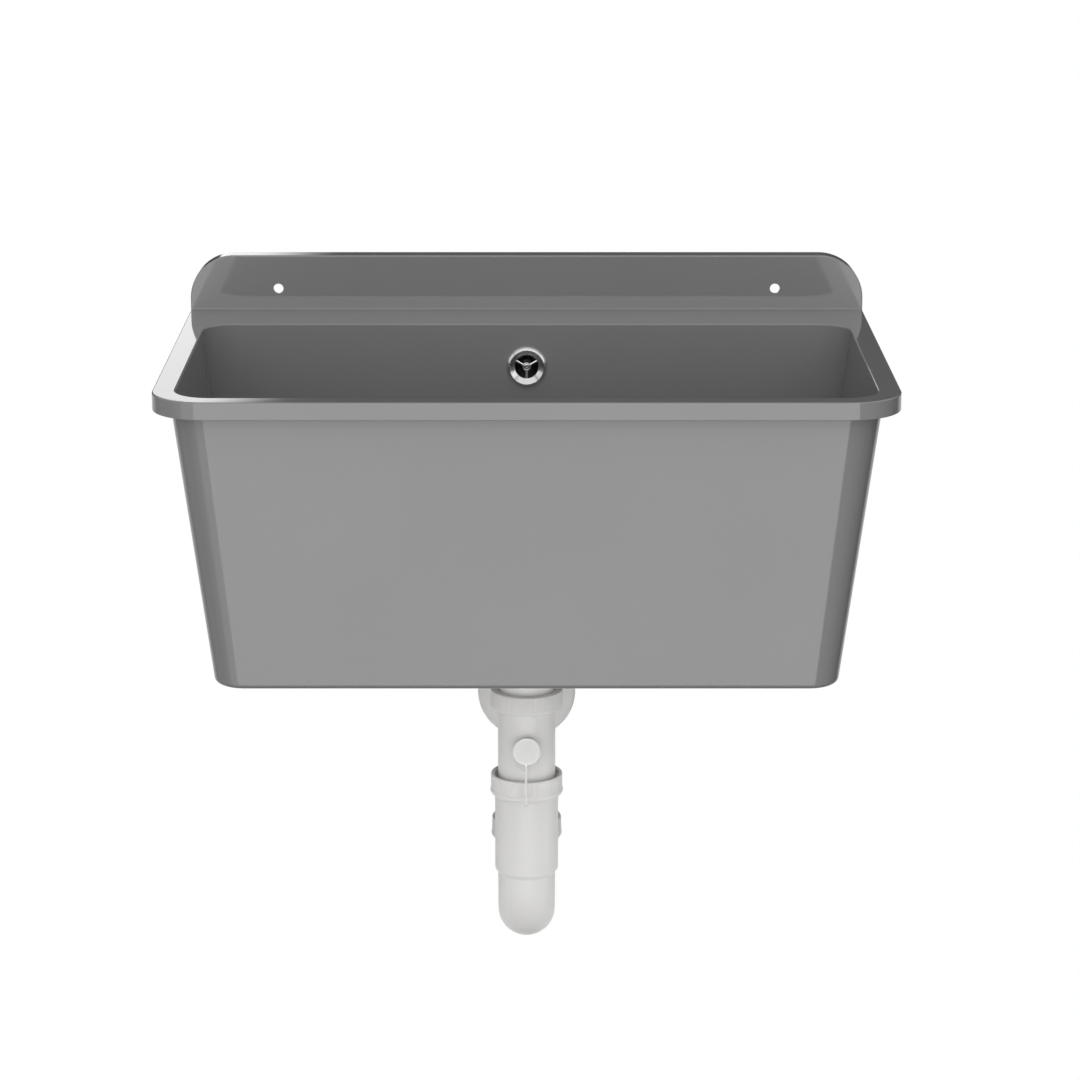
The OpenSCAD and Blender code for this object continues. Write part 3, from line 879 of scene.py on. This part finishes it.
# cap with its hanging strap
NL = 45.9
cap_prof = fil([(NL - 0.35, 0.0), (NL - 0.35, 10.2, 0.3), (NL, 10.7, 0.3), (NL, 11.3, 0.35), (NL - 0.9, 11.75, 0.4), (NL - 3.0, 11.75, 0.5),
                (NL - 3.0, 7.3, 0.3), (NL - 13.0, 7.3, 0.8), (NL - 13.0, 5.6, 0.4), (NL - 2.4, 5.6, 0.4), (NL - 2.4, 0.0)], closed=False)
cap = sweep(nz, cap_prof, 96, closed=False)
ys = DY - NL * math.cos(NR) - 11.7 * math.sin(NR) + 1.2


def strap():
    """Thin strip with rounded edges that leaves the cap's lower edge and hangs
    straight down to a small bead."""
    pts = []
    P0 = NAT + NDIR * (NL - 1.6) - Vector((0, math.sin(NR), math.cos(NR))) * 11.0
    for t in range(7):
        u = t / 6
        z = P0.z + (-351.0 - P0.z) * u
        y = P0.y + (ys - P0.y) * (u * u * (3 - 2 * u))
        pts.append((y, z))
    pts += [(ys, z) for z in (-356.0, -362.0, -368.0, -374.0, -380.0, -381.5)]
    prof2 = fil([(-1.0, -0.6, 0.5), (1.0, -0.6, 0.5), (1.0, 0.6, 0.5), (-1.0, 0.6, 0.5)], step=20)
    n = len(prof2)
    verts, faces = [], []
    for i, (y, z) in enumerate(pts):
        a = pts[max(0, i - 1)]
        b = pts[min(len(pts) - 1, i + 1)]
        d = Vector((0, b[0] - a[0], b[1] - a[1])).normalized()
        nrm = d.cross(Vector((1, 0, 0)))
        for u, v in prof2:
            verts.append(tuple(Vector((-0.5 + u, y, z)) + nrm * v))
    for j in range(len(pts) - 1):
        for k in range(n):
            k2 = (k + 1) % n
            faces.append((j * n + k, j * n + k2, (j + 1) * n + k2, (j + 1) * n + k))
    faces.append(tuple(range(n)))
    faces.append(tuple(range(len(verts) - 1, len(verts) - n - 1, -1)))
    return verts, faces


bead = sweep(axis_path((-0.5, ys, -383.0), (0, 0, 1), (1, 0, 0)),
             [(1.7 * math.cos(math.pi * i / 14), 1.7 * math.sin(math.pi * i / 14)) for i in range(15)], 24, closed=False)
solid_union("nozzle_cap", [cap, strap(), bead], CAPW, "branch_cap", ["branch_cap"], sharp=40)

# return bend with both sockets, as one tube of changing width
BZ, BR = -459.5, 44.0
BL = math.pi * BR


def bend_path(s):
    if s <= 0:
        return (0.0, DY, BZ - s), (1, 0, 0), (0, 1, 0)
    if s >= BL:
        return (0.0, DY + 2 * BR, BZ + s - BL), (1, 0, 0), (0, -1, 0)
    a = s / BR
    return (0.0, DY + BR - BR * math.cos(a), BZ - BR * math.sin(a)), (1, 0, 0), (0, math.cos(a), math.sin(a))


fz = lambda z: BZ - z            # height on the front leg to s (negative)
rz = lambda z: BL + (z - BZ)     # height on the rear leg to s
outer = [(fz(-375.1), 25.3, 0.3), (fz(-375.1), 28.2, 0.5), (fz(-386.0), 28.2, 0.4), (fz(-387.0), 27.3, 0.5),
         (fz(-452.4), 27.3, 3.2), (fz(-456.2), 24.7, 1.4),
         (rz(-457.4), 24.7, 0.8), (rz(-456.2), 28.2, 0.6), (rz(-445.4), 28.2, 0.5), (rz(-445.4), 25.3, 0.3),
         (rz(-451.0), 25.0, 0.5), (rz(-451.0), 22.4, 0.6),
         (fz(-452.0), 22.4, 0.6), (fz(-452.0), 25.0, 0.5)]
bp = dense(fil(outer), 0.0, BL, 2.6)
put("trap_bend_body", *sweep(bend_path, bp, 112), WHITE, "bend", "white_plastic", ["front_socket", "front_turn", "rear_turn", "rear_socket"], sharp=34)

# outlet elbow and wall pipe
EZ, EY, ER = -400.0, -134.0, 40.0
EL = math.pi / 2 * ER


def elbow_path(s):
    if s <= 0:
        return (0.0, EY, EZ + s), (1, 0, 0), (0, -1, 0)
    if s >= EL:
        return (0.0, EY + ER + s - EL, EZ + ER), (1, 0, 0), (0, 0, 1)
    a = s / ER
    return (0.0, EY + ER - ER * math.cos(a), EZ + ER * math.sin(a)), (1, 0, 0), (0, -math.cos(a), math.sin(a))


ez = lambda z: z - EZ
ey = lambda y: EL + (y - EY - ER)
ep = fil([(ez(-450.0), 22.4, 0.6), (ez(-450.0), 24.7, 0.8), (ez(-424.0), 24.7, 0.0), (ez(-423.4), 25.2, 0.3), (ez(-421.6), 25.2, 0.3), (ez(-421.0), 24.7, 0.0),
          (ey(-1.2), 24.7, 0.2), (ey(-0.6), 25.0, 0.2), (ey(43.0), 25.0, 0.6), (ey(45.0), 23.8, 0.3), (ey(45.0), 22.4, 0.3)])
ep = dense(ep, 0.0, EL, 2.6)
put("outlet_elbow_body", *sweep(elbow_path, ep, 112), WHITE, "outlet", "white_plastic", ["outlet_leg", "outlet_elbow", "wall_pipe"], sharp=34)

# wall rosette
rp = axis_path((0, 0, -360.0), (0, -1, 0), (1, 0, 0))
prof = fil([(0.0, 44.8, 0.2), (6.2, 44.8, 0.8), (8.4, 43.6, 2.0), (9.2, 40.0, 6.0), (10.4, 29.4, 2.5), (12.4, 28.0, 1.5), (16.0, 27.4, 0.6),
            (16.0, 25.3, 0.5), (8.4, 25.3, 0.8), (7.0, 41.6, 1.0), (5.6, 42.9, 0.8), (0.0, 42.9, 0.2)])
put("wall_rosette_cover", *sweep(rp, prof, 128), ROSW, "rosette", "white_plastic", ["wall_rosette"])

# ----------------------------------------------- parts under and behind
# the bowl: waste body, hose and clips
seat = -251.5
body = sweep(zpath(DY), fil([(seat - 7, 29.5, 0.4), (seat - 7, 41.0, 0.6), (seat - 10.5, 41.0, 0.6), (seat - 10.5, 32.0, 2.0), (-277.5, 32.0, 4.0),
                             (-279.6, 23.9, 1.5), (-301.0, 23.9, 0.6), (-301.0, 20.0, 0.4), (-274.0, 20.0, 2.0), (-272.6, 29.5, 3.0)]), 112)
spig = axis_path((0, DY, -269), (0, 1, 0), (1, 0, 0))
spout = sweep(spig, fil([(24.0, 0.0), (24.0, 11.5), (31.4, 11.5, 1.5), (33.4, 9.8, 1.2), (55.4, 9.8, 0.2), (56.0, 10.5, 0.2), (62.0, 9.8, 0.3), (62.0, 0.0)], closed=False), 64, closed=False)
spout_bore = sweep(spig, [(22.0, 0.0), (22.0, 7.6), (70.0, 7.6), (70.0, 0.0)], 48, closed=False)
core = sweep(zpath(DY), [(seat - 8.5, 0.0), (seat - 8.5, 29.5), (-272.5, 29.5), (-272.5, 0.0)], 112, closed=False)


def web(angle):
    c, s = math.cos(angle), math.sin(angle)
    vs = []
    for z in (-277.0, -267.0):
        for a, b in ((0.0, -1.5), (30.4, -1.5), (30.4, 1.5), (0.0, 1.5)):
            vs.append((a * c - b * s, DY + a * s + b * c, z))
    return vs, [(0, 1, 2, 3), (7, 6, 5, 4), (0, 4, 5, 1), (1, 5, 6, 2), (2, 6, 7, 3), (3, 7, 4, 0)]


boss = sweep(zpath(DY), fil([(-277.0, 0.0), (-277.0, 6.0, 0.6), (-257.0, 6.0, 0.6), (-257.0, 0.0)], closed=False), 48, closed=False)
boss_bore = sweep(zpath(DY), [(-274.5, 0.0), (-274.5, 3.05), (-250.0, 3.05), (-250.0, 0.0)], 32, closed=False)
# painted light: the waste body takes the lighter copy of the white moulding, to read brighter in the bowl's shade
solid_union("waste_body_cup", [body, spout], ROSW, "sink", ["waste_body"],
            cut=[core, spout_bore], sharp=34)
solid_union("waste_web", [boss, web(math.radians(120)), web(math.radians(240)), web(0.0)], WHITE, "sink", cut=[boss_bore])

# overflow cup behind the back wall
cup = sweep(opath, fil([(7.6, 12.8, 0.2), (7.6, 19.0, 0.6), (10.6, 19.0, 0.6), (10.6, 15.0, 1.2), (34.6, 15.0, 2.4), (34.6, 0.0)], closed=False)
            + [(32.6, 0.0)] + fil([(32.6, 0.0), (32.6, 12.8, 1.5), (7.6, 12.8)], closed=False)[1:-1], 96)
spath = axis_path((0.0, -60.0, -39.0), (0, 0, -1), (1, 0, 0))
pipe = sweep(spath, fil([(0.0, 0.0), (0.0, 11.2), (13.4, 11.2, 1.2), (15.4, 10.0, 1.2), (28.4, 10.0, 0.2), (29.0, 10.5, 0.2), (34.6, 10.0, 0.3), (35.0, 9.8, 0.2), (35.0, 0.0)], closed=False), 64, closed=False)
pbore = sweep(spath, [(-2.0, 0.0), (-2.0, 8.0), (40.0, 8.0), (40.0, 0.0)], 48, closed=False)
inner_cup = sweep(opath, [(6.0, 0.0), (6.0, 12.8), (32.5, 12.8), (32.5, 0.0)], 96, closed=False)
solid_union("overflow_cup", [cup, pipe], CUP_PAINTED_SHADE, "sink", ["overflow_elbow"], cut=[pbore], sharp=34)
obos = sweep(opath, fil([(33.2, 0.0), (33.2, 4.6), (9.0, 4.6, 0.5), (9.0, 1.85, 0.1), (27.6, 1.85), (27.6, 0.0)], closed=False), 48, closed=False)
put("overflow_cup_boss", *obos, CUP_PAINTED_SHADE, "sink", "white_plastic")

# ribbed hose along the route of the CAD one: down behind the bowl, a quarter
# turn and forward to the waste body
HY, HDN, HEND, HT = -60.0, -230.0, -269.0, 38.0
H0 = -58.0
L1 = H0 - HDN
L2 = math.pi / 2 * HT
L3 = abs(-174.0 - (HY - HT))
HLEN = L1 + L2 + L3


def hose_path(s):
    if s <= L1:
        return (0.0, HY, H0 - s), (1, 0, 0), (0, -1, 0)
    if s >= L1 + L2:
        return (0.0, HY - HT - (s - L1 - L2), HEND), (1, 0, 0), (0, 0, -1)
    a = (s - L1) / HT
    return (0.0, HY - HT + HT * math.cos(a), HDN - HT * math.sin(a)), (1, 0, 0), (0, -math.cos(a), -math.sin(a))


CUFF, PITCH = 20.0, 4.6
hp = [(0.0, 12.3), (0.3, 12.5), (CUFF, 12.5)]
s = CUFF
NW = int((HLEN - 2 * CUFF) / PITCH)
PW = (HLEN - 2 * CUFF) / NW
for i in range(NW):
    for j in range(1, 9):
        u = j / 8
        hp.append((s + PW * u, 12.5 - 1.15 * (0.5 - 0.5 * math.cos(2 * math.pi * u)) ** 0.8))
    s += PW
hp += [(HLEN - 0.3, 12.5), (HLEN, 12.3), (HLEN, 11.0), (HLEN - CUFF, 11.0), (L1 + L2 + 6, 10.4)]
for i in range(16, -1, -1):
    hp.append((L1 + L2 * i / 16, 10.4))
hp += [(CUFF + 2, 10.4), (CUFF, 11.0), (0.0, 11.0)]
put("overflow_hose_ribbed", *sweep(hose_path, hp, 56), HOSE, "sink", "hose", ["overflow_hose"], sharp=50)


def clip(path, name, replaces=()):
    """Worm-drive clip: band, housing and hexagon-headed screw."""
    band = sweep(path, fil([(-4.0, 12.7, 0.1), (-4.0, 13.5, 0.25), (4.0, 13.5, 0.25), (4.0, 12.7, 0.1)], step=30), 96)
    O, U, V = (Vector(x) for x in path(0))
    A = (Vector(path(1)[0]) - O).normalized()
    vs = []
    prof2 = fil([(-4.4, 13.3, 0.4), (4.4, 13.3, 0.4), (4.4, 16.2, 1.8), (1.2, 17.7, 1.2), (-1.2, 17.7, 1.2), (-4.4, 16.2, 1.8)], step=25)
    n = len(prof2)
    for t in (-4.0, 4.0):
        for a, r in prof2:
            vs.append(tuple(O + A * a + V * r + U * t))
    fs = [(k, (k + 1) % n, n + (k + 1) % n, n + k) for k in range(n)] + [tuple(range(n)), tuple(range(2 * n - 1, n - 1, -1))]
    sp = axis_path(O + V * 15.4, U, tuple(A))
    shank = sweep(sp, fil([(-6.2, 0.0), (-6.2, 2.3, 0.4), (-3.0, 2.3), (-3.0, 0.0)], closed=False), 32, closed=False)
    hx = sweep(sp, fil([(-7.0, 0.0), (-7.0, 2.4, 0.3), (-6.4, 2.75, 0.2), (-5.0, 2.75, 0.2), (-5.0, 0.0)], closed=False), 6, closed=False)
    return solid_union(name, [band, (vs, fs), shank, hx], STEEL, "sink", replaces, sharp=30)


clip(axis_path((0, HY, -66.0), (0, 0, 1), (1, 0, 0)), "hose_clip_upper", ["hose_clips"])
clip(axis_path((0, -166.0, HEND), (0, 1, 0), (1, 0, 0)), "hose_clip_lower")

# strainer, its screw and the seals keep their CAD shapes
for node, mat in (("waste_strainer", STEEL), ("waste_screw", STEEL), ("waste_seal_upper", RUBBER), ("waste_seal_lower", RUBBER),
                  ("overflow_seal", RUBBER), ("union_seal", RUBBER), ("front_seal", RUBBER), ("rear_seal", RUBBER)):
    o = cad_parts[node]
    o.data.materials.clear()
    o.data.materials.append(mat)

# ---------------------------------------------------- camera, light, floor
PITCH_D = 14.806
cam_data = bpy.data.cameras.new("camera")
cam_data.lens = 116.35
cam_data.sensor_width = 36.0
cam_data.shift_x = 0.01236
cam_data.clip_end = 50.0
cam = bpy.data.objects.new("camera", cam_data)
scene.collection.objects.link(cam)
cam.location = (0.0, -3.0861, 0.5792)
cam.rotation_euler = (math.radians(90.0 - PITCH_D), 0.0, 0.0)
scene.camera = cam
scene.view_settings.view_transform = "Standard"

# softboxes as areas of the sky; azimuth 0 is straight ahead (+Y), positive to
# the right. A mirrored box stands at both sides; slant leans its right edge.
BOXES = [
    # name, mirrored, azimuths, elevations, soft edges, slant, strength
    ("front_window", True, (152.0, 999.0), (-44.0, 40.0), (1.0, 4.0), 0.0, 2.3),
    ("front_band", True, (152.0, 999.0), (-4.0, 16.0), (1.0, 5.0), 0.0, 0.28),
    ("overhead_front", True, (90.0, 999.0), (40.0, 70.0), (6.0, 5.0), 0.0, 0.95),
    ("overhead_back", True, (-999.0, 90.0), (40.0, 70.0), (6.0, 5.0), 0.0, 0.8),
    ("zenith", True, (-999.0, 999.0), (70.0, 999.0), (6.0, 5.0), 0.0, 0.95),
    ("front_left_wing", False, (-152.0, -125.0), (-50.0, 40.0), (1.0, 5.0), 0.0, 0.7),
    ("left_fill", False, (-85.0, -45.0), (-50.0, 40.0), (4.0, 5.0), 0.0, 0.26),
    ("right_upper", False, (45.0, 135.0), (10.0, 40.0), (10.0, 5.0), 0.0, 0.25),
    ("back_left_strip", False, (-11.0, -4.2), (5.5, 16.0), (1.6, 2.0), 0.38, 2.1),
    ("rear_fill", True, (-999.0, 45.0), (-50.0, -6.0), (16.0, 6.0), 0.0, 0.8),
]


def build_world():
    w = bpy.data.worlds.new("studio")
    scene.world = w
    w.use_nodes = True
    nt = w.node_tree
    nt.nodes.clear()
    out = nt.nodes.new("ShaderNodeOutputWorld")
    tc = nt.nodes.new("ShaderNodeTexCoord")
    sep = nt.nodes.new("ShaderNodeSeparateXYZ")
    nt.links.new(tc.outputs["Generated"], sep.inputs[0])
    az = math_node(nt, "MULTIPLY", math_node(nt, "ARCTAN2", sep.outputs[0], sep.outputs[1]), 180 / math.pi)
    el = math_node(nt, "MULTIPLY", math_node(nt, "ARCSINE", sep.outputs[2]), 180 / math.pi)
    both = math_node(nt, "ABSOLUTE", az)
    total = None
    for name, mirrored, (a0, a1), (e0, e1), (sa, se), slant, k in BOXES:
        f = None
        a = both if mirrored else az
        lean = a
        if slant:
            lean = math_node(nt, "ADD", a, math_node(nt, "MULTIPLY", math_node(nt, "SUBTRACT", el, 11.0), slant))
        for src, edge, soft, up in ((a, a0, sa, True), (lean, a1, sa, False), (el, e0, se, True), (el, e1, se, False)):
            if abs(edge) > 900:
                continue
            g = span(nt, src, 0.0 if up else 1.0, 1.0 if up else 0.0, edge - soft / 2, edge + soft / 2)
            f = g if f is None else math_node(nt, "MULTIPLY", f, g)
        f = math_node(nt, "MULTIPLY", f, k)
        total = f if total is None else math_node(nt, "ADD", total, f)
    bg = nt.nodes.new("ShaderNodeBackground")
    nt.links.new(total, bg.inputs["Strength"])
    bg.inputs["Color"].default_value = (1, 1, 1, 1)
    white = nt.nodes.new("ShaderNodeBackground")
    white.inputs["Color"].default_value = (1, 1, 1, 1)
    white.inputs["Strength"].default_value = 1.0
    lp = nt.nodes.new("ShaderNodeLightPath")
    mix = nt.nodes.new("ShaderNodeMixShader")
    nt.links.new(lp.outputs["Is Camera Ray"], mix.inputs[0])
    nt.links.new(bg.outputs[0], mix.inputs[1])
    nt.links.new(white.outputs[0], mix.inputs[2])
    nt.links.new(mix.outputs[0], out.inputs[0])


build_world()


def strip_light(name, side, power):
    """Small strip softbox beside the trap, under the bowl, out of the picture."""
    data = bpy.data.lights.new(name, "AREA")
    data.shape = "RECTANGLE"
    data.size = 0.12
    data.size_y = 0.34
    data.energy = power
    o = bpy.data.objects.new(name, data)
    scene.collection.objects.link(o)
    at = Vector((side * 0.21, -0.28, -0.46))
    back = (at - Vector((0.0, -0.222, -0.46))).normalized()
    up = Vector((0.0, 0.0, 1.0))
    o.matrix_world = Matrix.Translation(at) @ Matrix((up.cross(back), up, back)).transposed().to_4x4()
    o.visible_camera = False
    o.visible_glossy = False
    return o


def card(name, side):
    """White card beside the sink, above its rim, that only shiny surfaces see:
    it lights the sides of the chrome ring."""
    data = bpy.data.lights.new(name, "AREA")
    data.shape = "RECTANGLE"
    data.size = 0.52
    data.size_y = 0.44
    data.energy = 0.68
    o = bpy.data.objects.new(name, data)
    scene.collection.objects.link(o)
    at = Vector((side * 0.7, -0.26, 0.25))
    back = Vector((float(side), 0.0, 0.0))
    up = Vector((0.0, 0.0, 1.0))
    o.matrix_world = Matrix.Translation(at) @ Matrix((up.cross(back), up, back)).transposed().to_4x4()
    o.visible_camera = False
    o.visible_diffuse = False
    return o


card("card_left", -1)
card("card_right", 1)
strip_light("strip_left", -1, 0.11)
strip_light("strip_right", 1, 0.23)

# plain pale floor well under the trap
fm = bpy.data.materials.new("floor_pale")
fm.use_nodes = True
fnt = fm.node_tree
fnt.nodes.clear()
fo = fnt.nodes.new("ShaderNodeOutputMaterial")
fe = fnt.nodes.new("ShaderNodeEmission")
fe.inputs["Strength"].default_value = 1.0
fnt.links.new(fe.outputs[0], fo.inputs[0])
me = bpy.data.meshes.new("floor")
me.from_pydata([(-6, -6, -0.8), (6, -6, -0.8), (6, 6, -0.8), (-6, 6, -0.8)], [], [(0, 1, 2, 3)])
floor = bpy.data.objects.new("floor", me)
scene.collection.objects.link(floor)
me.materials.append(fm)
floor.visible_glossy = False
floor.visible_diffuse = False
floor.visible_shadow = False
